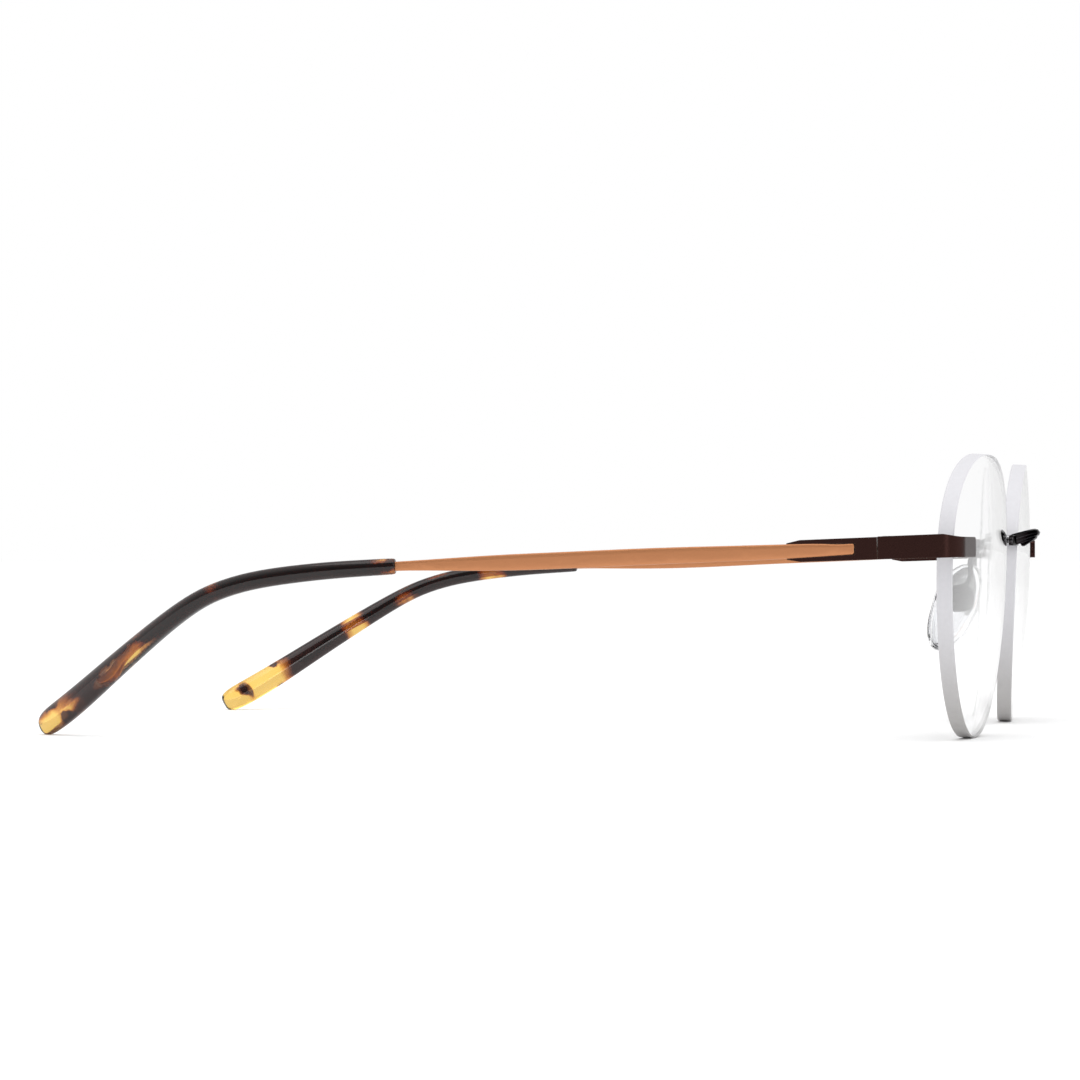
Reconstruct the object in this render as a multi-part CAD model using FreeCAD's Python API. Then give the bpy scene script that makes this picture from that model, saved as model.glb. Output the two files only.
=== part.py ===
import FreeCAD, Part
import math
import os

# Rimless spectacles, in millimetres.
# +Z is up, the lenses face -Y and the temples run back towards +Y.
# The pair is mirror-symmetric about X = 0. The wearer's left side is built
# on +X and then mirrored for the right side.
# The origin is on the resting plane, under the middle of the bounding box.

V = FreeCAD.Vector

# ---- driving dimensions -------------------------------------------------
LENS_WIDTH = 50.0            # boxed lens width
LENS_ABOVE = 18.2            # outline height above the lens datum line
LENS_BELOW = 25.8            # outline height below it
LENS_CENTRE_X = 33.45        # half the distance between lens centres
LENS_DATUM_Z = 25.7          # datum line above the resting plane
LENS_SLANT = 0.055           # sideways lean of the outline per unit of height
UPPER_SQUARENESS = 2.3       # superellipse exponents of the outline
LOWER_SQUARENESS = 2.02
FRONT_RADIUS = 150.0         # convex front surface
BACK_RADIUS = 147.6          # concave back surface, without power
CENTRE_THICKNESS = 2.4
SAFETY_BEVEL = 0.15
PANTO_ANGLE = 3.3            # lean of the lenses, top forward, degrees
WRAP_ANGLE = 4.3             # each lens turned back at its outer end, degrees

POST_RADIUS = 0.5            # metal posts of the lens mounts
POST_ROOT = 0.6              # how deep a post is sunk into its fitting
POST_PROUD = 0.5             # how far a post passes the back lens surface
BARREL_RADIUS = 0.75         # plastic barrels that line the lens holes
FIT_GAP = 0.02               # all round between fixed mating parts
RUNNING_GAP = 0.04           # all round between turning parts
BRIDGE_POSTS = (-22.0, -24.2)    # across the lens, from its centre
TEMPLE_POSTS = (22.4, 24.7)
BRIDGE_MOUNT_HEIGHT = 5.05       # above the lens datum line
TEMPLE_MOUNT_HEIGHT = 3.8
BRIDGE_STANDOFF = 0.45           # front lens surface to the metal
MOUNT_FLANGE = (1.9, 0.55)       # flange height and thickness behind the lens

BRIDGE_BLOCK = (3.4, 0.8, 1.65)  # length, thickness, height
BRIDGE_HALF_SPAN = 9.1
BRIDGE_START = (-0.85, 30.87)     # depth and height of the ends of the arch
BRIDGE_REACH = 2.95              # how far the arch stands forward of its ends
BRIDGE_RISE = 1.15
BRIDGE_END_HEIGHT = 1.9          # section height at the ends of the arch
BRIDGE_TOP_HEIGHT = 1.5          # section height at its middle
BRIDGE_DEPTH = 1.1
# Section of the arch: forward and up, as parts of half its depth and height.
BRIDGE_SECTION = (
    (-1.0, -0.55), (-1.0, 0.55), (-0.45, 1.0), (0.4, 0.85), (1.0, 0.25),
    (0.75, -0.35), (0.25, -0.5), (0.1, -1.0), (-0.5, -1.0),
)
ARM_RADIUS = 0.42

PAD_CENTRE = (8.6, 8.8, 20.0)
PAD_LONG_AXIS = (-0.30, -0.43, 1.0)
PAD_SPLAY = 28.0                 # angle the pads open towards the face
PAD_SIZE = (7.6, 2.4, 15.4)      # width, thickness, length
PAD_CORE = (4.4, 0.6, 9.0)
BOX_RADIUS = 2.2                 # round metal box that holds the pad
BOX_WALL = 0.35
BOX_BACK = -3.9                  # back of the box behind the middle of the pad
BOX_CENTRE = (0.9, 1.1)          # box centre across and up the pad
BOX_FLAT = 1.75                  # flat side of the box that carries the screw head
PAD_PIVOT_DEPTH = 2.45           # screw axis behind the middle of the pad

SIDE_X = 67.0                    # outer face of the end piece and housing
SEAM_Y = 14.1                    # joint between end piece and housing
SIDE_THICKNESS = 1.0
PLATE_THICKNESS = 1.35
PLATE_CORNER = 0.7               # rounded corners of the free end
PIN_X = 64.85
PIN_Y = 12.8
PIN_Z = 29.45
TEMPLE_SLOPE = 2.07              # degrees down towards the back
EAR_RADIUS = 1.05
EYE_HALF_HEIGHT = 0.5
EAR_TOP = 1.4
SCREW_RADIUS = 0.5
ROD_X = 65.15
ROD_RADIUS = 0.45
CAVITY_RADIUS = 0.85
HOUSING_START = 14.2
HOUSING_END = 27.6
HOUSING_INNER_X = 63.9
CAVITY_END = 24.4
GUIDE_LENGTH = 1.4
NUT_START = 22.0
NUT_LENGTH = 1.0
SPRING_WIRE = 0.1
SPRING_RADIUS = 0.64
SPRING_TURNS = 12

TIP_END = 2.3                    # rounded end beyond the last tip station

STRIP_THICKNESS = 0.9
STRIP_SEAT_START = 17.5          # front end of the strip's seat in the housing

CENTRE_Y = 72.515                # middle of the length, from the lens datum
RESTING_Z = 0.05                 # lowest point of the lenses

# Temple centre line: distance back, distance out, height, metal height.
STRIP_LINE = (
    (17.60, 66.75, 29.30, 1.20),
    (17.72, 66.75, 29.30, 1.50),
    (18.00, 66.75, 29.28, 1.60),
    (22.0, 66.77, 29.12, 1.85),
    (28.5, 66.85, 28.88, 2.16),
    (40.0, 67.35, 28.48, 2.38),
    (50.0, 67.75, 28.12, 2.46),
    (61.0, 68.10, 27.62, 2.50),
    (70.5, 68.40, 27.26, 2.36),
    (79.0, 68.80, 26.98, 1.85),
    (86.5, 69.10, 26.72, 1.40),
)
# Temple tip: distance back, distance out, height, tip height, thickness.
TIP_LINE = (
    (86.5, 69.10, 26.72, 2.40, 2.00),
    (92.0, 69.25, 26.42, 2.50, 2.20),
    (97.5, 69.30, 26.05, 2.60, 2.35),
    (104.5, 69.20, 25.30, 2.70, 2.50),
    (110.5, 68.80, 24.30, 2.72, 2.60),
    (116.2, 67.80, 22.50, 2.75, 2.65),
    (120.4, 66.40, 20.22, 2.90, 2.70),
    (124.9, 64.30, 17.35, 3.12, 2.75),
    (132.0, 60.20, 12.48, 3.60, 2.80),
    (136.8, 57.40, 9.05, 3.92, 2.80),
    (141.7, 54.50, 5.60, 4.25, 2.75),
    (145.3, 52.40, 3.30, 4.30, 2.65),
    (147.2, 51.30, 2.20, 4.15, 2.55),
)
CORE_STATIONS = 9                # tip stations that the core wire passes
CORE_END = (136.8, 57.40, 9.05)  # where it stops


# ---- general helpers ----------------------------------------------------
def spline(points, periodic=False):
    curve = Part.BSplineCurve()
    curve.interpolate(Points=points, PeriodicFlag=periodic)
    return curve


def rod(start, direction, length, radius):
    return Part.makeCylinder(radius, length, start, direction)


def box_between(low, high):
    size = high - low
    return Part.makeBox(size.x, size.y, size.z, low)


def polygon_face(points):
    return Part.Face(Part.makePolygon(points + [points[0]]))


def oval_wire(centre, side, up, half_side, half_up, squareness, count=24):
    points = []
    for i in range(count):
        angle = 2 * math.pi * (i + 0.5) / count
        c = math.cos(angle)
        s = math.sin(angle)
        a = half_side * math.copysign(abs(c) ** (2 / squareness), c)
        b = half_up * math.copysign(abs(s) ** (2 / squareness), s)
        points.append(centre + side * a + up * b)
    return Part.Wire(spline(points, True).toShape())


def swept_sections(line, squareness, end_cap=0.0):
    """Loft oval sections along a line of (y, x, z, height, thickness)."""
    centres = [V(x, y, z) for y, x, z, _, _ in line]
    path = spline(centres)
    wires = []
    for centre, station in zip(centres, line):
        tangent = V(*path.tangent(path.parameter(centre))[0])
        side = tangent.cross(V(0, 0, 1)).normalize()
        up = side.cross(tangent).normalize()
        wires.append(oval_wire(centre, side, up, station[4] / 2,
                               station[3] / 2, squareness))
    if end_cap:
        for step in (0.35, 0.62, 0.82, 0.94, 0.99):
            shrink = math.sqrt(1 - step ** 2)
            wires.append(oval_wire(centre + tangent * (end_cap * step), side, up,
                                   station[4] / 2 * shrink ** 0.6,
                                   station[3] / 2 * shrink, squareness))
    return Part.makeLoft(wires, True)


def largest(shape):
    return max(shape.Solids, key=lambda solid: solid.Volume)


def lens_placement():
    wrap = FreeCAD.Rotation(V(0, 0, 1), WRAP_ANGLE)
    lean = FreeCAD.Rotation(V(1, 0, 0), PANTO_ANGLE)
    return FreeCAD.Placement(V(LENS_CENTRE_X, 0, LENS_DATUM_Z), wrap.multiply(lean))


def place(shape, placement):
    """Move a shape from its own frame into the frame of the spectacles."""
    moved = shape.copy()
    moved.transformShape(placement.toMatrix())
    return moved


def sloped(shape):
    """Tilt a hinge part to the temple's slope about the hinge."""
    turned = shape.copy()
    turned.rotate(V(PIN_X, PIN_Y, PIN_Z), V(1, 0, 0), -TEMPLE_SLOPE)
    return turned


# ---- lenses -------------------------------------------------------------
def sagitta(radius, across, height):
    rise = height - (LENS_ABOVE - LENS_BELOW) / 2
    return radius - math.sqrt(radius ** 2 - across ** 2 - rise ** 2)


def front_depth(across, height):
    return sagitta(FRONT_RADIUS, across, height)


def back_depth(across, height):
    return CENTRE_THICKNESS + sagitta(BACK_RADIUS, across, height)


def lens_outline(count=96):
    points = []
    for i in range(count):
        angle = 2 * math.pi * i / count
        c = math.cos(angle)
        s = math.sin(angle)
        power = 2 / (UPPER_SQUARENESS if s >= 0 else LOWER_SQUARENESS)
        reach = LENS_ABOVE if s >= 0 else LENS_BELOW
        height = reach * math.copysign(abs(s) ** power, s)
        across = LENS_WIDTH / 2 * math.copysign(abs(c) ** power, c)
        points.append(V(across + LENS_SLANT * height, -10, height))
    return Part.Wire(spline(points, True).toShape())


def mount_cut(posts, height, edge_side):
    """A round hole for the inner post and an open notch for the outer one."""
    hole_x, notch_x = posts
    radius = BARREL_RADIUS + FIT_GAP
    hole = rod(V(hole_x, -10, height), V(0, 1, 0), 30, radius)
    notch = rod(V(notch_x, -10, height), V(0, 1, 0), 30, radius)
    low_x = min(notch_x, notch_x + edge_side * 3)
    slot = Part.makeBox(3, 30, 2 * radius, V(low_x, -10, height - radius))
    return hole.fuse(notch).fuse(slot)


def lens():
    middle = (LENS_ABOVE - LENS_BELOW) / 2
    blank = Part.Face(lens_outline()).extrude(V(0, 30, 0))
    front = Part.makeSphere(FRONT_RADIUS, V(0, FRONT_RADIUS, middle))
    back = Part.makeSphere(BACK_RADIUS, V(0, CENTRE_THICKNESS + BACK_RADIUS, middle))
    body = blank.common(front).cut(back)
    body = body.makeChamfer(SAFETY_BEVEL, [e for e in body.Edges if is_rim(e)])
    body = body.cut(mount_cut(BRIDGE_POSTS, BRIDGE_MOUNT_HEIGHT, -1))
    body = body.cut(mount_cut(TEMPLE_POSTS, TEMPLE_MOUNT_HEIGHT, 1))
    return place(body, lens_placement())


def is_rim(edge):
    """True for the edges that run round the lens, not across its rim."""
    return edge.Length > 20


# ---- lens mounts --------------------------------------------------------
def mount_surface(posts, height):
    """Depth of the front lens surface midway between the two posts."""
    return front_depth(sum(posts) / 2, height)


def mount_posts(posts, height, standoff, shoulder):
    """Two shouldered posts that pass through the lens, in the lens frame."""
    surface = mount_surface(posts, height)
    shape = None
    for across in posts:
        length = back_depth(across, height) - surface + standoff + POST_PROUD
        root = V(across, surface - standoff - POST_ROOT, height)
        post = rod(root, V(0, 1, 0), length + POST_ROOT, POST_RADIUS)
        collar = rod(root, V(0, 1, 0), shoulder + POST_ROOT, BARREL_RADIUS)
        post = post.fuse(collar)
        shape = post if shape is None else shape.fuse(post)
    return shape


def lens_bushing(posts, height, reach):
    """Clear plastic double barrel pushed through the lens from behind."""
    flange_height, flange_thickness = MOUNT_FLANGE
    seat = max(back_depth(x, height) for x in posts) + FIT_GAP
    low = min(posts)
    span = abs(posts[1] - posts[0])
    flange = Part.makeBox(span, flange_thickness, flange_height,
                          V(low, seat, height - flange_height / 2))
    shape = flange
    start = mount_surface(posts, height) - reach
    for across in posts:
        end_cap = rod(V(across, seat, height), V(0, 1, 0), flange_thickness,
                      flange_height / 2)
        barrel = rod(V(across, start, height), V(0, 1, 0), seat + 0.1 - start,
                     BARREL_RADIUS)
        shape = shape.fuse(end_cap).fuse(barrel)
    for across in posts:
        bore = rod(V(across, -5, height), V(0, 1, 0), 20, POST_RADIUS + FIT_GAP)
        shape = shape.cut(bore)
    return place(shape, lens_placement())


# ---- bridge and nose pads -----------------------------------------------
def bridge_arch():
    """Forward and upward arch with a ridge along its front."""
    wires = []
    for i in range(-8, 9):
        t = i / 8
        bow = 1 - t ** 2
        centre = V(BRIDGE_HALF_SPAN * t, BRIDGE_START[0] - BRIDGE_REACH * bow,
                   BRIDGE_START[1] + BRIDGE_RISE * bow)
        tangent = V(BRIDGE_HALF_SPAN, 2 * BRIDGE_REACH * t, -2 * BRIDGE_RISE * t).normalize()
        forward = V(0, 0, 1).cross(tangent).normalize() * -1
        up = tangent.cross(forward).normalize() * -1
        half_height = (BRIDGE_END_HEIGHT + (BRIDGE_TOP_HEIGHT - BRIDGE_END_HEIGHT) * bow) / 2
        points = [centre + forward * (a * BRIDGE_DEPTH / 2) + up * (b * half_height)
                  for a, b in BRIDGE_SECTION]
        wires.append(Part.makePolygon(points + [points[0]]))
    return Part.makeLoft(wires, True)


def bridge_end():
    """Flat block and two posts on one lens, in the lens frame."""
    length, thickness, height = BRIDGE_BLOCK
    middle = sum(BRIDGE_POSTS) / 2
    surface = mount_surface(BRIDGE_POSTS, BRIDGE_MOUNT_HEIGHT) - BRIDGE_STANDOFF
    low = V(middle - length / 2, surface - thickness, BRIDGE_MOUNT_HEIGHT - height / 2)
    block = Part.makeBox(length, thickness, height, low)
    block = block.makeFillet(0.2, block.Edges)
    posts = mount_posts(BRIDGE_POSTS, BRIDGE_MOUNT_HEIGHT, BRIDGE_STANDOFF, 0.0)
    return place(block.fuse(posts), lens_placement())


def bridge():
    end = bridge_end()
    shape = bridge_arch().fuse([end, mirrored(end)])
    return shape.removeSplitter()


def bridge_bushing():
    """Bushing of the bridge mount, cut clear of the ends of the arch."""
    bushing = lens_bushing(BRIDGE_POSTS, BRIDGE_MOUNT_HEIGHT, BRIDGE_STANDOFF - FIT_GAP)
    return largest(bushing.cut(bridge_arch()))


def pad_placement():
    up = V(*PAD_LONG_AXIS).normalize()
    angle = math.radians(PAD_SPLAY)
    inward = V(-math.cos(angle), math.sin(angle), 0)
    inward = (inward - up * inward.dot(up)).normalize()
    across = inward.cross(up)
    matrix = FreeCAD.Matrix(across.x, inward.x, up.x, PAD_CENTRE[0],
                            across.y, inward.y, up.y, PAD_CENTRE[1],
                            across.z, inward.z, up.z, PAD_CENTRE[2],
                            0, 0, 0, 1)
    return FreeCAD.Placement(matrix)


def screw_direction():
    """Along the width of the pad, in the pad frame."""
    return V(1, 0, 0)


def pad_pivot():
    return V(BOX_CENTRE[0], -PAD_PIVOT_DEPTH, BOX_CENTRE[1])


def box_blank(start, length, shrink):
    """Disc with one flat side, for the outside and the inside of the box."""
    side, up = BOX_CENTRE
    disc = rod(V(side, start, up), V(0, 1, 0), length, BOX_RADIUS - shrink)
    flat = box_between(V(side + BOX_FLAT - shrink, start - 1, up - 5),
                       V(side + 5, start + length + 1, up + 5))
    return disc.cut(flat)


def pad_box():
    """Round box, open towards the pad, with holes for the pad screw."""
    outer = box_blank(BOX_BACK, 2.3, 0)
    inner = box_blank(BOX_BACK + BOX_WALL, 3, BOX_WALL)
    hole = rod(pad_pivot() - screw_direction() * 4, screw_direction(), 8, 0.45 + FIT_GAP)
    return place(outer.cut(inner).cut(hole), pad_placement())


def pad_arm():
    """Bent wire from the bridge round the lens edge to the pad box."""
    side, up = BOX_CENTRE
    end = pad_placement().multVec(V(side, -3.0, up + BOX_RADIUS - 0.2))
    above = pad_placement().multVec(V(side + 0.1, -3.2, up + BOX_RADIUS + 2.2))
    points = [V(8.3, -0.75, 30.95), V(7.35, 0.9, 31.05), V(7.1, 2.9, 30.85),
              V(7.7, 4.8, 29.8), V(8.7, 5.9, 28.0), above, end]
    path = Part.Wire(spline(points).toShape())
    tangent = path.Edges[0].tangentAt(path.Edges[0].FirstParameter)
    circle = Part.Wire(Part.makeCircle(ARM_RADIUS, points[0], tangent))
    wire = path.makePipeShell([circle], True, True)
    box_outside = place(box_blank(BOX_BACK, 2.3, 0), pad_placement())
    return largest(wire.cut(bridge()).cut(box_outside))


def pad_screw():
    direction = screw_direction()
    start = pad_pivot() - direction * (BOX_RADIUS + 0.1)
    shank = rod(start, direction, BOX_RADIUS + BOX_FLAT + 0.3, 0.45)
    head_at = pad_pivot() + direction * (BOX_FLAT + FIT_GAP)
    head = rod(head_at, direction, 0.55, 0.82)
    slot = Part.makeBox(0.22, 2.4, 0.3)
    slot.translate(V(-0.11, -1.2, 0))
    turn = FreeCAD.Rotation(V(0, 0, 1), direction)
    slot.Placement = FreeCAD.Placement(head_at + direction * 0.33, turn)
    return place(shank.fuse(head).cut(slot), pad_placement())


def oval_plate(size, middle):
    width, thickness, length = size
    wire = oval_wire(middle - V(0, thickness / 2, 0), V(1, 0, 0), V(0, 0, 1),
                     width / 2, length / 2, 2.25, 32)
    return Part.Face(wire).extrude(V(0, thickness, 0))


def pad_core():
    """Stiff insert: a plate inside the silicone, a stem and a pivot boss."""
    plate = oval_plate(PAD_CORE, V(0, 0, 0))
    stem = rod(pad_pivot(), V(0, 1, 0), PAD_PIVOT_DEPTH, 0.8)
    direction = screw_direction()
    boss = rod(pad_pivot() - direction * 1.3, direction, 2.6, 0.95)
    bore = rod(pad_pivot() - direction * 3, direction, 6, 0.45 + RUNNING_GAP)
    return place(plate.fuse(stem).fuse(boss).cut(bore), pad_placement())


def nose_pad():
    """Soft silicone pad moulded over the insert."""
    body = oval_plate(PAD_SIZE, V(0, 0.1, 0))
    rims = [e for e in body.Edges if e.Length > 20]
    body = body.makeFillet(1.0, rims)
    width, thickness, length = PAD_CORE
    hollow = oval_plate((width + 2 * FIT_GAP, thickness + 2 * FIT_GAP,
                         length + 2 * FIT_GAP), V(0, 0, 0))
    neck = rod(pad_pivot(), V(0, 1, 0), PAD_PIVOT_DEPTH, 0.8 + FIT_GAP)
    return place(body.cut(hollow).cut(neck), pad_placement())


# ---- end piece and hinge ------------------------------------------------
def end_piece_plan():
    """Plan of the plate, the bend and the side, as a face at Z = 26."""
    outer = [V(54.6, 0.85, 26), V(63.0, 1.55, 26), V(65.9, 2.95, 26),
             V(SIDE_X, 5.8, 26), V(SIDE_X, SEAM_Y, 26)]
    side_x = SIDE_X - SIDE_THICKNESS
    inner = [V(side_x, SEAM_Y, 26), V(side_x, 6.2, 26), V(65.0, 3.95, 26),
             V(62.7, 1.55 + PLATE_THICKNESS, 26), V(54.5, 0.85 + PLATE_THICKNESS, 26)]
    edges = [
        Part.makeLine(outer[0], outer[1]),
        Part.Arc(outer[1], outer[2], outer[3]).toShape(),
        Part.makeLine(outer[3], outer[4]),
        Part.makeLine(outer[4], inner[0]),
        Part.makeLine(inner[0], inner[1]),
        Part.Arc(inner[1], inner[2], inner[3]).toShape(),
        Part.makeLine(inner[3], inner[4]),
        Part.makeLine(inner[4], outer[0]),
    ]
    return Part.Face(Part.Wire(edges))


def end_piece():
    profile = polygon_face([V(50, -2, 28.1), V(50, 2.2, 28.1), V(50, 4.5, 28.0),
                            V(50, 20, 27.6), V(50, 20, 30.9), V(50, 4.5, 31.5),
                            V(50, 2.2, 31.1), V(50, -2, 31.1)])
    body = end_piece_plan().extrude(V(0, 0, 8))
    body = body.common(profile.extrude(V(30, 0, 0)))
    corners = [e for e in body.Edges if e.BoundBox.XMax < 54.8 and e.BoundBox.ZLength < 0.1]
    body = body.makeFillet(PLATE_CORNER, corners)
    posts = mount_posts(TEMPLE_POSTS, TEMPLE_MOUNT_HEIGHT, 0.95, 0.6)
    body = body.fuse(place(posts, lens_placement()))
    for low, high in ((EYE_HALF_HEIGHT + 0.05, EAR_TOP), (-EAR_TOP, -EYE_HALF_HEIGHT - 0.05)):
        ear = rod(V(PIN_X, PIN_Y, PIN_Z + low), V(0, 0, 1), high - low, EAR_RADIUS)
        web = box_between(V(PIN_X, PIN_Y - EAR_RADIUS, PIN_Z + low),
                          V(SIDE_X - 0.6, PIN_Y + EAR_RADIUS, PIN_Z + high))
        body = body.fuse(ear).fuse(web)
    bore = rod(V(PIN_X, PIN_Y, PIN_Z - 4), V(0, 0, 1), 8, SCREW_RADIUS + FIT_GAP)
    return body.cut(bore).removeSplitter()


def hinge_screw():
    shank = rod(V(PIN_X, PIN_Y, PIN_Z - EAR_TOP - 0.1), V(0, 0, 1), 2 * EAR_TOP + 0.1,
                SCREW_RADIUS)
    head_z = PIN_Z + EAR_TOP + 0.02
    head = rod(V(PIN_X, PIN_Y, head_z), V(0, 0, 1), 0.35, 0.9)
    slot = Part.makeBox(2.4, 0.24, 0.3, V(PIN_X - 1.2, PIN_Y - 0.12, head_z + 0.2))
    neck = rod(V(PIN_X, PIN_Y, PIN_Z), V(0, 0, 1), EAR_TOP + 0.1, SCREW_RADIUS)
    return shank.fuse(neck).fuse(head).cut(slot)


def hinge_link():
    """Eye on the hinge screw with a rod that runs into the housing."""
    eye = rod(V(PIN_X, PIN_Y, PIN_Z - EYE_HALF_HEIGHT), V(0, 0, 1), 2 * EYE_HALF_HEIGHT, 1.0)
    neck = box_between(V(ROD_X - ROD_RADIUS, PIN_Y, PIN_Z - ROD_RADIUS),
                       V(ROD_X + ROD_RADIUS, PIN_Y + 1.2, PIN_Z + ROD_RADIUS))
    bar = rod(V(ROD_X, PIN_Y + 0.9, PIN_Z), V(0, 1, 0), NUT_START + NUT_LENGTH + 0.3 - PIN_Y - 0.9,
              ROD_RADIUS)
    bore = rod(V(PIN_X, PIN_Y, PIN_Z - 3), V(0, 0, 1), 6, SCREW_RADIUS + RUNNING_GAP)
    return eye.fuse(sloped(neck)).fuse(sloped(bar)).cut(bore)


def hinge_guide():
    """Bush in the housing mouth that the rod slides through."""
    body = rod(V(ROD_X, HOUSING_START, PIN_Z), V(0, 1, 0), GUIDE_LENGTH, CAVITY_RADIUS - FIT_GAP)
    bore = rod(V(ROD_X, HOUSING_START - 1, PIN_Z), V(0, 1, 0), 4, ROD_RADIUS + RUNNING_GAP)
    return sloped(body.cut(bore))


def hinge_nut():
    """Collar on the end of the rod that the spring pushes against."""
    body = rod(V(ROD_X, NUT_START, PIN_Z), V(0, 1, 0), NUT_LENGTH, CAVITY_RADIUS - 0.08)
    bore = rod(V(ROD_X, NUT_START - 1, PIN_Z), V(0, 1, 0), 3, ROD_RADIUS + FIT_GAP)
    return sloped(body.cut(bore))


def hinge_spring():
    start = HOUSING_START + GUIDE_LENGTH + 0.05 + SPRING_WIRE
    height = NUT_START - 0.05 - SPRING_WIRE - start
    helix = Part.makeHelix(height / SPRING_TURNS, height, SPRING_RADIUS)
    section = Part.Wire(Part.makeCircle(SPRING_WIRE, V(SPRING_RADIUS, 0, 0), V(0, 1, 0)))
    coil = Part.Wire(helix.Edges).makePipeShell([section], True, True)
    coil.rotate(V(0, 0, 0), V(1, 0, 0), -90)
    coil.translate(V(ROD_X, start, PIN_Z))
    return sloped(coil)


def hinge_housing():
    profile = polygon_face([V(60, HOUSING_START, PIN_Z - 1.66), V(60, 25.6, PIN_Z - 1.62),
                            V(60, HOUSING_END, PIN_Z - 1.22), V(60, HOUSING_END, PIN_Z + 1.22),
                            V(60, 25.6, PIN_Z + 1.62), V(60, HOUSING_START, PIN_Z + 1.66)])
    plan = polygon_face([V(SIDE_X, HOUSING_START, 20), V(SIDE_X, HOUSING_END, 20),
                         V(SIDE_X - 1.3, HOUSING_END, 20), V(HOUSING_INNER_X, 25.2, 20),
                         V(HOUSING_INNER_X, HOUSING_START, 20)])
    body = profile.extrude(V(12, 0, 0)).common(plan.extrude(V(0, 0, 20)))
    cavity = rod(V(ROD_X, HOUSING_START - 1, PIN_Z), V(0, 1, 0), CAVITY_END - HOUSING_START + 1,
                 CAVITY_RADIUS)
    return sloped(body.cut(cavity)).cut(strip_seat())


# ---- temple -------------------------------------------------------------
def strip_line(grow=0.0):
    return [(y, x, z, height + 2 * grow, STRIP_THICKNESS + 2 * grow)
            for y, x, z, height in STRIP_LINE]


def core_line(grow=0.0):
    """Tapering wire that carries on from the strip inside the tip."""
    line = []
    stations = [station[:3] for station in TIP_LINE[:CORE_STATIONS]] + [CORE_END]
    for i, (y, x, z) in enumerate(stations):
        taper = i / CORE_STATIONS
        line.append((y, x, z, 1.40 - 0.3 * taper + 2 * grow,
                     STRIP_THICKNESS - 0.25 * taper + 2 * grow))
    return line


def temple(grow=0.0):
    """One piece of metal: the flat strip and the core wire of the tip."""
    return swept_sections(strip_line(grow)[:-1] + core_line(grow), 5.0)


def strip_seat():
    """Shallow recess in the housing that the strip is brazed into."""
    stations = [(STRIP_SEAT_START,) + STRIP_LINE[2][1:]] + list(STRIP_LINE[3:6])
    upper = [V(0, y, z + height / 2 + FIT_GAP) for y, _, z, height in stations]
    lower = [V(0, y, z - height / 2 - FIT_GAP) for y, _, z, height in stations]
    floor_x = STRIP_LINE[0][1] - STRIP_THICKNESS / 2 - FIT_GAP
    face = polygon_face(upper + lower[::-1])
    face.translate(V(floor_x, 0, 0))
    return face.extrude(V(3, 0, 0))


def temple_tip():
    """Bent acetate tip with a blind hole for the core wire."""
    return swept_sections(TIP_LINE, 2.7, TIP_END).cut(temple(FIT_GAP))


# ---- assembly -----------------------------------------------------------
def mirrored(shape):
    return shape.mirror(V(0, 0, 0), V(1, 0, 0))


def save(name, shape):
    shape = shape.copy()
    shape.translate(V(0, -CENTRE_Y, -RESTING_Z))
    shape.exportStep("parts/" + name + ".step")
    box = shape.optimalBoundingBox()
    print("%-24s solids %d valid %s  X %.2f..%.2f  Y %.2f..%.2f  Z %.2f..%.2f  V %.2f" % (
        name, len(shape.Solids), shape.isValid(), box.XMin, box.XMax, box.YMin,
        box.YMax, box.ZMin, box.ZMax, shape.Volume))


def main():
    os.makedirs("parts", exist_ok=True)
    save("bridge", bridge())
    pairs = {
        "lens": lens(),
        "bridge_bushing": bridge_bushing(),
        "end_piece_bushing": lens_bushing(TEMPLE_POSTS, TEMPLE_MOUNT_HEIGHT, 0.3),
        "pad_arm": pad_arm(),
        "pad_box": pad_box(),
        "pad_screw": pad_screw(),
        "pad_core": pad_core(),
        "nose_pad": nose_pad(),
        "end_piece": end_piece(),
        "hinge_screw": hinge_screw(),
        "hinge_link": hinge_link(),
        "hinge_guide": hinge_guide(),
        "hinge_spring": hinge_spring(),
        "hinge_nut": hinge_nut(),
        "hinge_housing": hinge_housing(),
        "temple": temple(),
        "temple_tip": temple_tip(),
    }
    for name, shape in pairs.items():
        save(name + "_left", shape)
        save(name + "_right", mirrored(shape))


main()
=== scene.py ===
import bpy
import math
from mathutils import Matrix, Vector


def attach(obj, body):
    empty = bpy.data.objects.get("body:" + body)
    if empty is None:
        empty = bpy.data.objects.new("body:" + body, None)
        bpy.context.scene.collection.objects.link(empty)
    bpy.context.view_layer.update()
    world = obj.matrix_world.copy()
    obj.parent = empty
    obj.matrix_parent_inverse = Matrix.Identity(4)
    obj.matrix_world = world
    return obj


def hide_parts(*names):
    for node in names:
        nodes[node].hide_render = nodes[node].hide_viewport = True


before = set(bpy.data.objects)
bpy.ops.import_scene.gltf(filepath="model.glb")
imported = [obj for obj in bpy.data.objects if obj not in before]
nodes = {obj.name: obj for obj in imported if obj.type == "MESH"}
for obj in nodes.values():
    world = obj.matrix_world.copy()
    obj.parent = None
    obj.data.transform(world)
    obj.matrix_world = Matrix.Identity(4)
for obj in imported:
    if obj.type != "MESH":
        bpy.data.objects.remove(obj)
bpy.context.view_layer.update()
MM = 0.001


# ---------------------------------------------------------------- node helpers
def new_material(name):
    """A material with its Principled shader, ready for wiring."""
    material = bpy.data.materials.new(name)
    material.use_nodes = True
    tree = material.node_tree
    shader = tree.nodes["Principled BSDF"]
    return material, tree, shader


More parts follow.
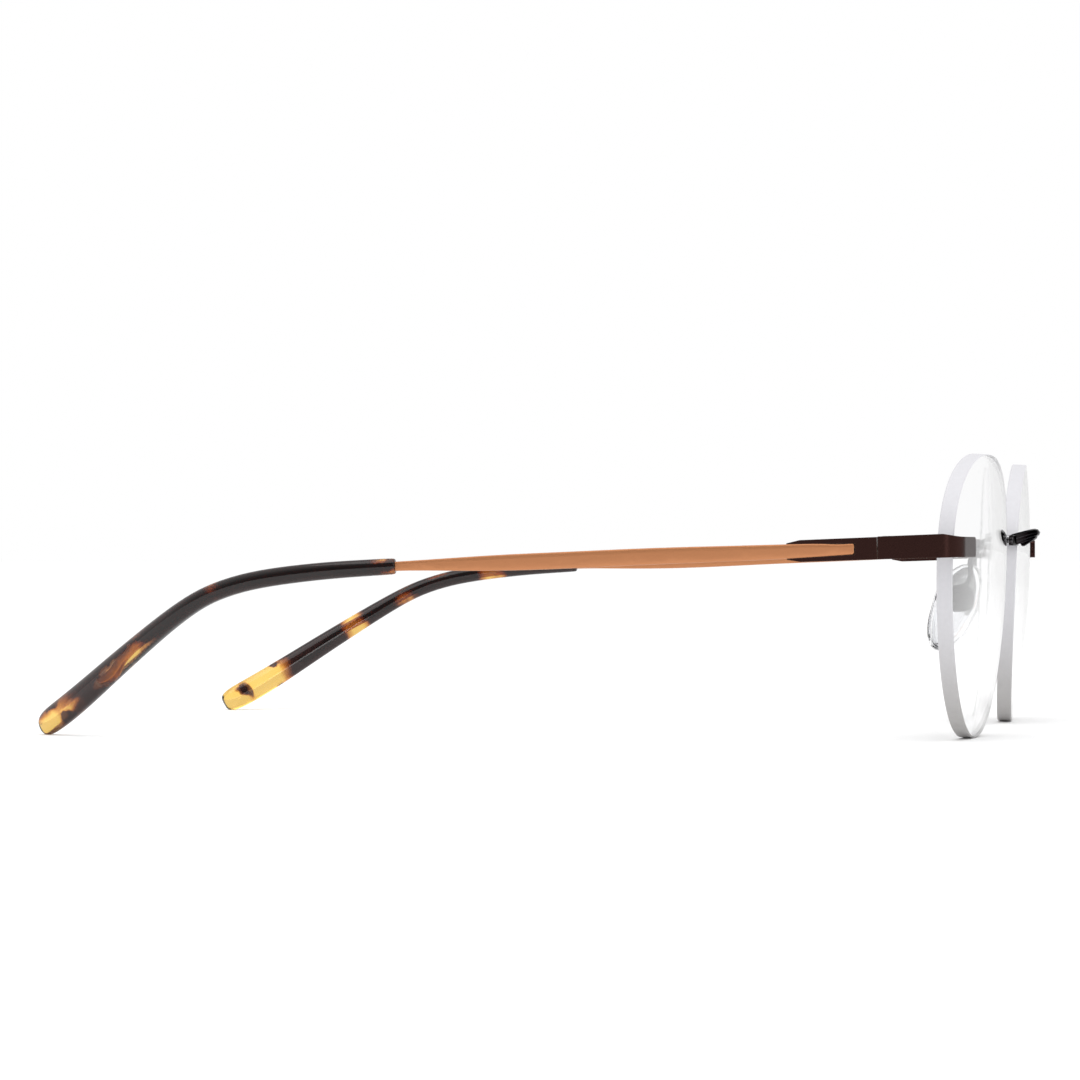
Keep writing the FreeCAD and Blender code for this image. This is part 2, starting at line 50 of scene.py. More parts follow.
def add(tree, kind, **settings):
    """A node with its modes and input values set by name."""
    node = tree.nodes.new(kind)
    for key, value in settings.items():
        if key in ("operation", "blend_type", "data_type", "noise_dimensions", "feature", "distance"):
            setattr(node, key, value)
        else:
            node.inputs[key.replace("_", " ")].default_value = value
    return node


def group(name, inputs, outputs):
    """An empty shader node group with named float, vector or colour sockets."""
    tree = bpy.data.node_groups.new(name, "ShaderNodeTree")
    for socket_name, kind, value in inputs:
        socket = tree.interface.new_socket(socket_name, in_out="INPUT", socket_type=kind)
        if value is not None:
            socket.default_value = value
    for socket_name, kind in outputs:
        tree.interface.new_socket(socket_name, in_out="OUTPUT", socket_type=kind)
    return tree, tree.nodes.new("NodeGroupInput"), tree.nodes.new("NodeGroupOutput")


def use_group(tree, source, **values):
    """Place a node group in a material, with its own values."""
    node = tree.nodes.new("ShaderNodeGroup")
    node.node_tree = source
    for key, value in values.items():
        node.inputs[key.replace("_", " ")].default_value = value
    return node


def make_grain():
    """Fine sprayed or brushed grain: a value round 1 and a height for bump."""
    tree, start, end = group("fine grain", [
        ("Size", "NodeSocketFloat", 0.0002),
        ("Contrast", "NodeSocketFloat", 0.1),
    ], [("Value", "NodeSocketFloat"), ("Height", "NodeSocketFloat")])
    place = tree.nodes.new("ShaderNodeTexCoord")
    inverse = add(tree, "ShaderNodeMath", operation="DIVIDE")
    inverse.inputs[0].default_value = 1.0
    tree.links.new(start.outputs["Size"], inverse.inputs[1])
    noise = add(tree, "ShaderNodeTexNoise", Detail=3.0, Roughness=0.6)
    tree.links.new(place.outputs["Object"], noise.inputs["Vector"])
    tree.links.new(inverse.outputs[0], noise.inputs["Scale"])
    centre = add(tree, "ShaderNodeMath", operation="SUBTRACT")
    centre.inputs[1].default_value = 0.5
    tree.links.new(noise.outputs[0], centre.inputs[0])
    spread = add(tree, "ShaderNodeMath", operation="MULTIPLY_ADD")
    spread.inputs[2].default_value = 1.0
    tree.links.new(centre.outputs[0], spread.inputs[0])
    tree.links.new(start.outputs["Contrast"], spread.inputs[1])
    tree.links.new(spread.outputs[0], end.inputs["Value"])
    tree.links.new(noise.outputs[0], end.inputs["Height"])
    return tree


def make_edge_highlight():
    """A mask that is 1 on convex edges, where the metal's colour gets a painted highlight."""
    tree, start, end = group("painted edge highlight", [("Reach", "NodeSocketFloat", 0.0002)],
                             [("Mask", "NodeSocketFloat")])
    bevel = tree.nodes.new("ShaderNodeBevel")
    bevel.samples = 6
    geometry = tree.nodes.new("ShaderNodeNewGeometry")
    dot = add(tree, "ShaderNodeVectorMath", operation="DOT_PRODUCT")
    tree.links.new(start.outputs["Reach"], bevel.inputs["Radius"])
    tree.links.new(bevel.outputs[0], dot.inputs[0])
    tree.links.new(geometry.outputs["Normal"], dot.inputs[1])
    ramp = tree.nodes.new("ShaderNodeMapRange")
    ramp.inputs["From Min"].default_value = 0.985
    ramp.inputs["From Max"].default_value = 0.85
    tree.links.new(dot.outputs["Value"], ramp.inputs["Value"])
    tree.links.new(ramp.outputs[0], end.inputs["Mask"])
    return tree


GRAIN = make_grain()
EDGE_HIGHLIGHT = make_edge_highlight()


def satin_metal(name, colour, edge_highlight_colour, metallic, roughness, grain_size, contrast, bump,
                coat=0.0, sheen=1.0):
    """Plated or sprayed metal with a fine grain and a painted highlight along its edges."""
    material, tree, shader = new_material(name)
    grain = use_group(tree, GRAIN, Size=grain_size, Contrast=contrast)
    # Painted highlight: on convex edges the colour turns to the lighter edge colour.
    edge = use_group(tree, EDGE_HIGHLIGHT, Reach=0.00015)
    base = add(tree, "ShaderNodeMix", data_type="RGBA")
    base.inputs[6].default_value = (*colour, 1)
    base.inputs[7].default_value = (*edge_highlight_colour, 1)
    tree.links.new(edge.outputs["Mask"], base.inputs[0])
    toned = add(tree, "ShaderNodeMix", data_type="RGBA", blend_type="MULTIPLY")
    toned.inputs[0].default_value = 1.0
    tree.links.new(base.outputs[2], toned.inputs[6])
    tree.links.new(grain.outputs["Value"], toned.inputs[7])
    tree.links.new(toned.outputs[2], shader.inputs["Base Color"])
    rough = add(tree, "ShaderNodeMath", operation="MULTIPLY")
    rough.inputs[1].default_value = roughness
    tree.links.new(grain.outputs["Value"], rough.inputs[0])
    tree.links.new(rough.outputs[0], shader.inputs["Roughness"])
    height = add(tree, "ShaderNodeBump", Strength=bump, Distance=0.00002)
    tree.links.new(grain.outputs["Height"], height.inputs["Height"])
    tree.links.new(height.outputs[0], shader.inputs["Normal"])
    shader.inputs["Metallic"].default_value = metallic
    shader.inputs["Coat Weight"].default_value = coat
    shader.inputs["Coat Roughness"].default_value = 0.25
    shader.inputs["Specular Tint"].default_value = (sheen, sheen, sheen, 1)
    return material


# The second colour of each metal is the painted highlight along its edges.
COPPER = satin_metal("satin copper", (0.50, 0.205, 0.085), (0.68, 0.34, 0.17), 0.6, 0.40,
                     0.00012, 0.20, 0.25, 0.1)
BROWN = satin_metal("satin dark brown", (0.034, 0.0135, 0.011), (0.12, 0.075, 0.06), 0.8, 0.27,
                    0.00012, 0.45, 0.25, 0.0, 0.5)
GUNMETAL = satin_metal("gunmetal", (0.030, 0.027, 0.028), (0.16, 0.16, 0.17), 1.0, 0.17,
                       0.0001, 0.15, 0.1, 0.0, 0.25)
STEEL = satin_metal("bright steel", (0.62, 0.62, 0.63), (0.8, 0.8, 0.8), 1.0, 0.18,
                    0.0001, 0.1, 0.08)
HINGE_STEEL = satin_metal("machined steel", (0.42, 0.41, 0.41), (0.6, 0.6, 0.6), 1.0, 0.32,
                          0.00008, 0.2, 0.2)


def make_lens_face():
    """Clear polished plastic with the faintest smear of handling marks."""
    material, tree, shader = new_material("polished lens")
    grain = use_group(tree, GRAIN, Size=0.009, Contrast=0.5)
    rough = add(tree, "ShaderNodeMath", operation="MULTIPLY")
    rough.inputs[1].default_value = 0.012
    tree.links.new(grain.outputs["Value"], rough.inputs[0])
    tree.links.new(rough.outputs[0], shader.inputs["Roughness"])
    shader.inputs["Base Color"].default_value = (0.995, 0.995, 1.0, 1)
    shader.inputs["IOR"].default_value = 1.5
    shader.inputs["Transmission Weight"].default_value = 1.0
    return material


def make_lens_rim():
    """Ground, frosted edge of the lens, with painted shade that makes it greyer towards the bottom."""
    material, tree, shader = new_material("ground lens edge")
    place = tree.nodes.new("ShaderNodeTexCoord")
    split = tree.nodes.new("ShaderNodeSeparateXYZ")
    tree.links.new(place.outputs["Object"], split.inputs[0])
    # Painted shade: the ground edge goes from its own grey near the top to a darker, shaded grey at the
    # bottom.
    height = tree.nodes.new("ShaderNodeMapRange")
    height.interpolation_type = "SMOOTHSTEP"
    height.inputs["From Min"].default_value = 0.002
    height.inputs["From Max"].default_value = 0.022
    tree.links.new(split.outputs["Z"], height.inputs["Value"])
    colour = add(tree, "ShaderNodeMix", data_type="RGBA")
    colour.inputs[6].default_value = (0.40, 0.39, 0.385, 1)
    colour.inputs[7].default_value = (0.585, 0.58, 0.605, 1)
    tree.links.new(height.outputs[0], colour.inputs[0])
    grain = use_group(tree, GRAIN, Size=0.0006, Contrast=0.12)
    toned = add(tree, "ShaderNodeMix", data_type="RGBA", blend_type="MULTIPLY")
    toned.inputs[0].default_value = 1.0
    tree.links.new(colour.outputs[2], toned.inputs[6])
    tree.links.new(grain.outputs["Value"], toned.inputs[7])
    tree.links.new(toned.outputs[2], shader.inputs["Base Color"])
    bump = add(tree, "ShaderNodeBump", Strength=0.25, Distance=0.00002)
    fine = use_group(tree, GRAIN, Size=0.00012, Contrast=0.5)
    tree.links.new(fine.outputs["Height"], bump.inputs["Height"])
    tree.links.new(bump.outputs[0], shader.inputs["Normal"])
    shader.inputs["Roughness"].default_value = 0.6
    shader.inputs["Specular IOR Level"].default_value = 0.3
    return material


def clear_plastic(name, colour, roughness, ior):
    """Clear moulded plastic or silicone with a faint cloudiness."""
    material, tree, shader = new_material(name)
    grain = use_group(tree, GRAIN, Size=0.0016, Contrast=0.06)
    base = add(tree, "ShaderNodeMix", data_type="RGBA", blend_type="MULTIPLY")
    base.inputs[0].default_value = 1.0
    base.inputs[6].default_value = (*colour, 1)
    tree.links.new(grain.outputs["Value"], base.inputs[7])
    tree.links.new(base.outputs[2], shader.inputs["Base Color"])
    shader.inputs["Roughness"].default_value = roughness
    shader.inputs["IOR"].default_value = ior
    shader.inputs["Transmission Weight"].default_value = 1.0
    return material


# Light patches of the tortoise pattern, in millimetres and degrees:
# middle, half sizes (across, along, up), lean of the long side, strength.
LIGHT_PATCHES = (
    ((-52.0, 74.6, 1.0), (5.0, 5.4, 3.0), 34, 1.3),     # right tip, rounded end
    ((-53.6, 72.2, 4.0), (5.0, 4.6, 2.6), 34, 0.34),
    ((-54.6, 70.6, 4.4), (5.0, 3.6, 0.8), 34, 0.62),
    ((-60.6, 59.0, 12.0), (5.0, 9.5, 1.5), 35, 1.7),     # right tip, clear window
    ((-68.6, 42.8, 23.3), (5.0, 1.8, 1.1), 20, 0.3),
    ((-69.4, 14.2, 25.5), (5.0, 3.6, 0.8), 4, 1.0),      # right tip, mouth
    ((-69.3, 15.0, 27.9), (5.0, 3.4, 0.8), 4, 0.8),
    ((51.0, 76.4, 1.2), (6.0, 7.0, 7.0), 34, 1.3),       # left tip, clear end
    ((54.4, 70.4, 5.4), (6.0, 6.6, 5.0), 34, 1.35),
    ((63.4, 55.0, 15.3), (6.0, 2.5, 4.2), 30, 0.95),
    ((67.2, 46.2, 20.6), (6.0, 2.4, 1.3), 34, 0.62),
    ((69.8, 30.2, 25.4), (6.0, 3.0, 2.4), 6, 0.95),
    ((69.0, 40.5, 25.0), (6.0, 3.0, 1.0), 10, 0.7),
)
# Brown spots inside the light patches.
DARK_SPOTS = (
    ((-54.3, 70.6, 2.9), (5.0, 1.7, 1.0), 34, 0.8),
    ((-53.0, 74.2, 4.6), (5.0, 1.4, 1.2), 34, 0.3),
    ((52.9, 72.9, 3.7), (6.0, 1.3, 1.7), 50, 0.95),
    ((55.8, 68.4, 8.4), (6.0, 1.6, 0.8), 34, 0.9),
)


def patch_field(tree, place, patches):
    """The strongest of several soft-edged ellipsoids, 1 at a middle and 0 at its edge."""
    total = None
    for middle, sizes, lean, strength in patches:
        local = tree.nodes.new("ShaderNodeMapping")
        local.vector_type = "TEXTURE"
        local.inputs["Location"].default_value = [v * MM for v in middle]
        local.inputs["Rotation"].default_value = (math.radians(-lean), 0, 0)
        local.inputs["Scale"].default_value = [v * MM for v in sizes]
        tree.links.new(place, local.inputs["Vector"])
        reach = add(tree, "ShaderNodeVectorMath", operation="LENGTH")
        tree.links.new(local.outputs[0], reach.inputs[0])
        value = add(tree, "ShaderNodeMath", operation="MULTIPLY_ADD")
        value.inputs[1].default_value = -strength
        value.inputs[2].default_value = strength
        tree.links.new(reach.outputs["Value"], value.inputs[0])
        if total is None:
            total = value
        else:
            highest = add(tree, "ShaderNodeMath", operation="MAXIMUM")
            tree.links.new(total.outputs[0], highest.inputs[0])
            tree.links.new(value.outputs[0], highest.inputs[1])
            total = highest
    return total


def make_tortoise_pattern():
    """Amber to dark brown mottling, as a colour."""
    tree, start, end = group("tortoise pattern", [], [("Colour", "NodeSocketColor")])
    place = tree.nodes.new("ShaderNodeTexCoord")
    wander = add(tree, "ShaderNodeTexNoise", Scale=260.0, Detail=3.0, Roughness=0.55)
    tree.links.new(place.outputs["Object"], wander.inputs["Vector"])
    shift = add(tree, "ShaderNodeVectorMath", operation="MULTIPLY_ADD")
    shift.inputs[1].default_value = (0.0032, 0.0032, 0.0032)
    tree.links.new(wander.outputs["Color"], shift.inputs[0])
    centred = add(tree, "ShaderNodeVectorMath", operation="ADD")
    centred.inputs[1].default_value = (-0.0016, -0.0016, -0.0016)
    tree.links.new(place.outputs["Object"], centred.inputs[0])
    tree.links.new(centred.outputs[0], shift.inputs[2])
    light = patch_field(tree, shift.outputs[0], LIGHT_PATCHES)
    dark = patch_field(tree, shift.outputs[0], DARK_SPOTS)
    spots = add(tree, "ShaderNodeMath", operation="MAXIMUM")
    spots.inputs[1].default_value = 0.0
    tree.links.new(dark.outputs[0], spots.inputs[0])
    field = add(tree, "ShaderNodeMath", operation="MULTIPLY_ADD")
    field.inputs[1].default_value = -1.6
    tree.links.new(spots.outputs[0], field.inputs[0])
    tree.links.new(light.outputs[0], field.inputs[2])
    ramp = tree.nodes.new("ShaderNodeValToRGB")
    stops = ((0.0, (0.016, 0.0040, 0.0035)), (0.07, (0.06, 0.013, 0.006)),
             (0.17, (0.27, 0.075, 0.015)), (0.30, (0.60, 0.25, 0.05)),
             (0.46, (0.88, 0.56, 0.13)), (1.0, (0.91, 0.60, 0.155)))
    for _ in range(len(stops) - 2):
        ramp.color_ramp.elements.new(0.5)
    for element, (where, colour) in zip(ramp.color_ramp.elements, stops):
        element.position = where
        element.color = (*colour, 1)
    tree.links.new(field.outputs[0], ramp.inputs[0])
    tree.links.new(ramp.outputs[0], end.inputs["Colour"])
    return tree


TORTOISE = make_tortoise_pattern()


def make_acetate():
    """Polished acetate: see-through where it is amber, opaque where it is brown."""
    material, tree, shader = new_material("tortoise acetate")
    pattern = use_group(tree, TORTOISE)
    tree.links.new(pattern.outputs["Colour"], shader.inputs["Base Color"])
    grain = use_group(tree, GRAIN, Size=0.0025, Contrast=0.6)
    rough = add(tree, "ShaderNodeMath", operation="MULTIPLY")
    rough.inputs[1].default_value = 0.05
    tree.links.new(grain.outputs["Value"], rough.inputs[0])
    tree.links.new(rough.outputs[0], shader.inputs["Roughness"])
    shader.inputs["IOR"].default_value = 1.48
    shader.inputs["Transmission Weight"].default_value = 1.0
    return material


LENS_FACE = make_lens_face()
LENS_RIM = make_lens_rim()
SILICONE = clear_plastic("clear silicone", (0.96, 0.965, 0.975), 0.05, 1.41)
NYLON = clear_plastic("clear nylon", (0.93, 0.93, 0.94), 0.08, 1.5)
PAD_INSERT = clear_plastic("clear pad insert", (0.95, 0.95, 0.96), 0.1, 1.46)
ACETATE = make_acetate()

FINISHES = {
    "bridge": GUNMETAL, "pad_arm": GUNMETAL, "pad_box": GUNMETAL, "pad_screw": STEEL,
    "pad_core": PAD_INSERT, "nose_pad": SILICONE, "lens": LENS_FACE, "bridge_bushing": NYLON,
    "end_piece_bushing": NYLON, "end_piece": BROWN, "hinge_screw": STEEL,
    "hinge_link": HINGE_STEEL, "hinge_guide": HINGE_STEEL, "hinge_spring": STEEL,
    "hinge_nut": HINGE_STEEL, "hinge_housing": BROWN, "temple": COPPER, "temple_tip": ACETATE,
}

for node_name, obj in nodes.items():
    kind = node_name.removesuffix("_left").removesuffix("_right")
    for slot in obj.material_slots:
        slot.material = FINISHES[kind]


# ---------------------------------------------------------------- piece helpers
def start_edit(obj):
    bpy.ops.object.select_all(action="DESELECT")
    obj.select_set(True)
    bpy.context.view_layer.objects.active = obj
    bpy.ops.object.mode_set(mode="EDIT")


def pick_vertices(obj, wanted):
    """Select exactly the vertices for which wanted(index, place) is true."""
    bpy.ops.object.mode_set(mode="OBJECT")
    mesh = obj.data
    for polygon in mesh.polygons:
        polygon.select = False
    for edge in mesh.edges:
        edge.select = False
    for vertex in mesh.vertices:
        vertex.select = wanted(vertex.index, vertex.co)
    bpy.ops.object.mode_set(mode="EDIT")
    bpy.ops.mesh.select_mode(type="VERT")


def stretch(value, centre):
    bpy.ops.transform.resize(value=value, center_override=centre)


def turn(angle, axis, centre):
    """Turn by the right-hand rule: the operator turns the other way with no window."""
    bpy.ops.transform.rotate(value=-angle, orient_axis=axis, center_override=centre)


SMOOTHING_LEVELS = 2


def finish_piece(obj):
    """Face every side outwards, smooth the mesh and put its place into it."""
    bpy.ops.object.mode_set(mode="EDIT")
    bpy.ops.mesh.select_all(action="SELECT")
    bpy.ops.mesh.normals_make_consistent(inside=False)
    bpy.ops.object.mode_set(mode="OBJECT")
    smooth = obj.modifiers.new("smooth", "SUBSURF")
    smooth.levels = smooth.render_levels = SMOOTHING_LEVELS
    bpy.ops.object.modifier_apply(modifier=smooth.name)
    bpy.ops.object.transform_apply(location=True, rotation=True, scale=True)
    bpy.ops.object.shade_smooth()


def flipped(obj, name):
    """A copy on the other side of the nose, mirrored across X = 0."""
    bpy.ops.object.select_all(action="DESELECT")
    twin = obj.copy()
    twin.data = obj.data.copy()
    twin.name = name
    bpy.context.collection.objects.link(twin)
    twin.select_set(True)
    bpy.context.view_layer.objects.active = twin
    twin.scale = (-1, 1, 1)
    bpy.ops.object.transform_apply(location=True, rotation=True, scale=True)
    bpy.ops.object.mode_set(mode="EDIT")
    bpy.ops.mesh.select_all(action="SELECT")
    bpy.ops.mesh.normals_make_consistent(inside=False)
    bpy.ops.object.mode_set(mode="OBJECT")
    return twin


# ---------------------------------------------------------------- temple tips
# Stations of the right-hand tip: back, out, height, tip height, thickness, in millimetres.
TIP_STATIONS = (
    (13.985, 69.10, 26.67, 2.30, 1.90), (14.30, 69.11, 26.66, 2.44, 2.04),
    (19.5, 69.25, 26.37, 2.50, 2.20), (25.0, 69.30, 26.00, 2.60, 2.35),
    (32.0, 69.20, 25.25, 2.70, 2.50), (38.0, 68.80, 24.25, 2.72, 2.60),
    (43.7, 67.80, 22.45, 2.75, 2.65), (47.9, 66.40, 20.17, 2.90, 2.70),
    (52.4, 64.30, 17.30, 3.12, 2.75), (59.5, 60.20, 12.43, 3.60, 2.80),
    (64.3, 57.40, 9.00, 3.92, 2.80), (69.2, 54.50, 5.55, 4.25, 2.75),
    (72.8, 52.40, 3.25, 4.30, 2.65), (74.6, 51.33, 2.20, 4.15, 2.50),
    (75.55, 50.76, 1.64, 3.70, 2.25), (76.15, 50.40, 1.29, 2.95, 1.85),
    (76.40, 50.25, 1.12, 1.80, 1.20),
)
TIP_SIDES = 16
SUBDIVISION_SHRINK = 1.026


def tip_heading(index):
    """Pitch and yaw of the tip's centre line at a station, in radians."""
    before = TIP_STATIONS[max(index - 1, 0)]
    after = TIP_STATIONS[min(index + 1, len(TIP_STATIONS) - 1)]
    back, out, rise = (after[i] - before[i] for i in range(3))
    pitch = math.atan2(rise, math.hypot(back, out))
    yaw = math.atan2(-out, back)
    return pitch, yaw


def model_tip():
    """Bent acetate tip: a ring drawn out through the stations, closed at both ends."""
    back, out, rise, tall, thick = TIP_STATIONS[0]
    bpy.ops.object.select_all(action="DESELECT")
    bpy.ops.mesh.primitive_circle_add(vertices=TIP_SIDES, radius=0.5, fill_type="NGON",
                                      location=(0, 0, 0), rotation=(math.pi / 2, 0, 0))
    tip = bpy.context.object
    tip.name = "tip_left"
    bpy.ops.object.transform_apply(location=True, rotation=True, scale=True)
    start_edit(tip)
    pick_vertices(tip, lambda i, p: min(abs(p.x), abs(p.z)) > 0.15)
    stretch((1.05, 1, 1.05), (0, 0, 0))
    bpy.ops.mesh.select_all(action="SELECT")
    stretch((thick * MM * SUBDIVISION_SHRINK, 1, tall * MM * SUBDIVISION_SHRINK), (0, 0, 0))
    bpy.ops.transform.translate(value=(out * MM, back * MM, rise * MM))
    for before, after in zip(TIP_STATIONS, TIP_STATIONS[1:]):
        move = ((after[1] - before[1]) * MM, (after[0] - before[0]) * MM, (after[2] - before[2]) * MM)
        bpy.ops.mesh.extrude_region_move(TRANSFORM_OT_translate={"value": move})
        centre = (after[1] * MM, after[0] * MM, after[2] * MM)
        stretch((after[4] / before[4], 1, after[3] / before[3]), centre)
    for index, station in enumerate(TIP_STATIONS):
        centre = (station[1] * MM, station[0] * MM, station[2] * MM)
        pitch, yaw = tip_heading(index)
        pick_vertices(tip, lambda i, p: i // TIP_SIDES == index)
        turn(pitch, "X", centre)
        turn(yaw, "Z", centre)
    finish_piece(tip)
    tip.data.materials.append(ACETATE)
    return tip


def place_tips():
    left = model_tip()
    right = flipped(left, "tip_right")
    for tip, side in ((left, "left"), (right, "right")):
        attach(tip, "temple_" + side)
        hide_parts("temple_tip_" + side)


place_tips()

# ---------------------------------------------------------------- nose pads
# Frame of the left pad in metres: across its width, towards the nose, along its length.
PAD_ACROSS = Vector((0.41644, 0.7832, 0.46171))
PAD_UP = Vector((-0.2657, -0.3808, 0.8856))
PAD_MIDDLE = (0.0086, -0.063715, 0.01995)
PAD_WIDTH = 7.6
PAD_LENGTH = 15.4
PAD_SIDES = 32
# Rings from the back of the pad to its crown: depth, share of the outline.
PAD_RINGS = ((-1.08, 0.74), (-0.98, 0.88), (-0.62, 0.985), (-0.1, 1.0), (0.45, 0.985),
             (0.95, 0.90), (1.22, 0.72), (1.34, 0.42))


def model_nose_pad():
    """Soft oval pad with a full rim and a low crown towards the nose."""
    bpy.ops.object.select_all(action="DESELECT")
    bpy.ops.mesh.primitive_circle_add(vertices=PAD_SIDES, radius=1.0, fill_type="NGON",
                                      location=(0, 0, 0), rotation=(math.pi / 2, 0, 0))
    pad = bpy.context.object
    pad.name = "soft_pad_left"
    bpy.ops.object.transform_apply(location=True, rotation=True, scale=True)
    start_edit(pad)
    depth, share = PAD_RINGS[0]
    bpy.ops.mesh.select_all(action="SELECT")
    stretch((PAD_WIDTH / 2 * MM * share, 1, PAD_LENGTH / 2 * MM * share), (0, 0, 0))
    bpy.ops.transform.translate(value=(0, depth * MM, 0))
    for (old_depth, old_share), (depth, share) in zip(PAD_RINGS, PAD_RINGS[1:]):
        bpy.ops.mesh.extrude_region_move(
            TRANSFORM_OT_translate={"value": (0, (depth - old_depth) * MM, 0)})
        grow = share / old_share
        stretch((grow, 1, grow), (0, depth * MM, 0))
    bpy.ops.mesh.inset(thickness=0.0008, depth=0.00002)
    bpy.ops.mesh.poke()
    pick_vertices(pad, lambda i, p: p.z > 0)
    stretch((1.06, 1, 1), (0, 0, 0))
    pick_vertices(pad, lambda i, p: p.z < 0)
    stretch((0.94, 1, 1), (0, 0, 0))
    bpy.ops.object.mode_set(mode="OBJECT")
    inward = PAD_UP.cross(PAD_ACROSS)
    turned = Matrix((PAD_ACROSS, inward, PAD_UP)).transposed().to_4x4()
    pad.matrix_world = Matrix.Translation(PAD_MIDDLE) @ turned
    finish_piece(pad)
    pad.data.materials.append(SILICONE)
    return pad


def place_nose_pads():
    left = model_nose_pad()
    right = flipped(left, "soft_pad_right")
    for pad, side in ((left, "left"), (right, "right")):
        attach(pad, "pad_" + side)
        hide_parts("nose_pad_" + side)


place_nose_pads()


# ---------------------------------------------------------------- lenses
# Frame of the left lens: its middle, its turn towards the temple and its lean.
LENS_ORIGIN = (0.03345, -0.072515, 0.02565)
LENS_WRAP = 4.3
LENS_LEAN = 3.3
LENS_FRAME = (Matrix.Translation(LENS_ORIGIN)
              @ Matrix.Rotation(math.radians(LENS_WRAP), 4, "Z")
              @ Matrix.Rotation(math.radians(LENS_LEAN), 4, "X"))
FRONT_RADIUS = 150.0
BACK_RADIUS = 147.6
LENS_THICKNESS = 2.4
LENS_MIDDLE_RISE = -3.8
LENS_SLANT = 0.055
LENS_HALF_WIDTH = 25.0
# Upper and lower half of the oval: reach from the datum line, squareness.
UPPER_HALF = (18.2, 2.3)
LOWER_HALF = (25.8, 2.02)
LENS_POINTS = 144
SAFETY_BEVEL = 0.15
FACE_RINGS = (0.06, 0.16, 0.26, 0.36, 0.46, 0.56, 0.65, 0.74, 0.82, 0.89, 0.95, 0.9935)
# Mount holes and notches: distance across, height, towards the edge.
MOUNTS = ((-22.0, 5.05, 0), (-24.2, 5.05, -1), (22.4, 3.8, 0), (24.7, 3.8, 1))
BARREL_RADIUS = 0.77
BIT_SIDES = 40
BIT_LENGTH = 0.02
NOTCH_REACH = 0.003
ON_FACE = 0.00002
SHARP_ANGLE = 20


def oval_point(index):
    """Across and up from the lens middle to the outline, in millimetres."""
    angle = 2 * math.pi * index / LENS_POINTS
    reach, squareness = UPPER_HALF if math.sin(angle) >= 0 else LOWER_HALF
    power = 2 / squareness
    up = reach * math.copysign(abs(math.sin(angle)) ** power, math.sin(angle))
    across = LENS_HALF_WIDTH * math.copysign(abs(math.cos(angle)) ** power, math.cos(angle))
    return across + LENS_SLANT * up, up


def face_depth(radius, across, up):
    """Depth of a spherical face behind its front-most point."""
    return radius - math.sqrt(radius ** 2 - across ** 2 - (up - LENS_MIDDLE_RISE) ** 2)


def lens_rings():
    """Share of the outline, radius, depth offset of each ring, from back to front."""
    back = [(share, BACK_RADIUS, LENS_THICKNESS) for share in FACE_RINGS]
    front = [(share, FRONT_RADIUS, 0.0) for share in reversed(FACE_RINGS)]
    edge = [(1.0, BACK_RADIUS, LENS_THICKNESS - SAFETY_BEVEL),
            (1.0, FRONT_RADIUS, SAFETY_BEVEL)]
    return back + edge + front


def model_lens():
    """Oval plate drawn out ring by ring, laid on its two spheres, then drilled."""
    bpy.ops.object.select_all(action="DESELECT")
    bpy.ops.mesh.primitive_circle_add(vertices=LENS_POINTS, radius=0.02, fill_type="NGON",
                                      location=(0, 0, 0), rotation=(math.pi / 2, 0, 0))
    lens = bpy.context.object
    lens.name = "clear_lens_left"
    bpy.ops.object.transform_apply(location=True, rotation=True, scale=True)
    start_edit(lens)
    bpy.ops.mesh.select_all(action="SELECT")
    rings = lens_rings()
    for _ in rings[1:]:
        bpy.ops.mesh.extrude_region_move(TRANSFORM_OT_translate={"value": (0, -MM, 0)})
    bpy.ops.object.mode_set(mode="OBJECT")
    for vertex in lens.data.vertices:
        share, radius, offset = rings[vertex.index // LENS_POINTS]
        across, up = (share * reach for reach in oval_point(vertex.index % LENS_POINTS))
        depth = face_depth(radius, across, up) + offset
        vertex.co = (across * MM, depth * MM, up * MM)
    start_edit(lens)
    bpy.ops.mesh.select_mode(type="FACE")
    bpy.ops.mesh.select_all(action="DESELECT")
    bpy.ops.mesh.select_face_by_sides(number=LENS_POINTS, type="EQUAL")
    bpy.ops.mesh.poke()
    bpy.ops.mesh.select_all(action="SELECT")
    bpy.ops.mesh.normals_make_consistent(inside=False)
    bpy.ops.object.mode_set(mode="OBJECT")
    for across, up, outward in MOUNTS:
        drill(lens, across, up, outward)
    lens.matrix_world = LENS_FRAME
    bpy.ops.object.transform_apply(location=True, rotation=True, scale=True)
    return lens


def drill(lens, across, up, outward):
    """A round hole through the lens, opened to the edge where outward is not 0."""
    bpy.ops.object.select_all(action="DESELECT")
    bpy.ops.mesh.primitive_cylinder_add(vertices=BIT_SIDES, radius=BARREL_RADIUS * MM, depth=BIT_LENGTH,
                                        location=(across * MM, 0.002, up * MM),
                                        rotation=(math.pi / 2, 0, 0))
    bit = bpy.context.object
    bpy.ops.object.transform_apply(location=True, rotation=True, scale=True)
    if outward:
        start_edit(bit)
        pick_vertices(bit, lambda i, p: (p.x - across * MM) * outward > 0.00001)
        bpy.ops.transform.translate(value=(NOTCH_REACH * outward, 0, 0))
        bpy.ops.object.mode_set(mode="OBJECT")
    cut = lens.modifiers.new("mount hole", "BOOLEAN")
    cut.operation = "DIFFERENCE"
    cut.solver = "EXACT"
    cut.object = bit
    bpy.ops.object.select_all(action="DESELECT")
    lens.select_set(True)
    bpy.context.view_layer.objects.active = lens
    bpy.ops.object.modifier_apply(modifier=cut.name)
    bpy.data.objects.remove(bit)


